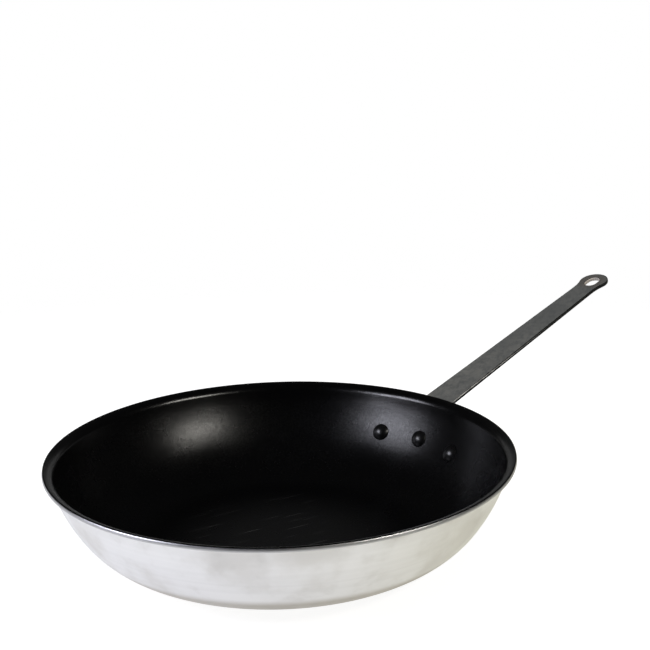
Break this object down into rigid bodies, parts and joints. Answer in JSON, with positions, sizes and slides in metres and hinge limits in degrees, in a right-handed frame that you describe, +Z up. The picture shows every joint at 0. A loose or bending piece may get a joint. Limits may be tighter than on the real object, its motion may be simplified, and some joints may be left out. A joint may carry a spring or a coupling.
{
  "type": "omelette pan",
  "caption": "Round shallow pan with a curved side, a flared lip, a black non-stick inside and a long flat strap handle with a hanging eye.",
  "frame": {"origin": "centre of the flat underside", "axes": "+Z up, out of the pan; +X along the handle, away from the pan"},
  "size_m": [0.6015, 0.356, 0.1406],
  "materials": {
    "spun_aluminium": "satin, with faint rings from spinning",
    "nonstick": "semi-matt black with a fine speckle",
    "handle_steel": "satin grey lacquer on steel strip",
    "rivet": "satin black non-stick on the domed heads"
  },
  "bodies": {
    "root": {"pan_body": "spun_aluminium", "nonstick_coating": "nonstick", "handle": "handle_steel", "rivet_left": "rivet", "rivet_middle": "rivet", "rivet_right": "rivet"}
  },
  "joints": []
}
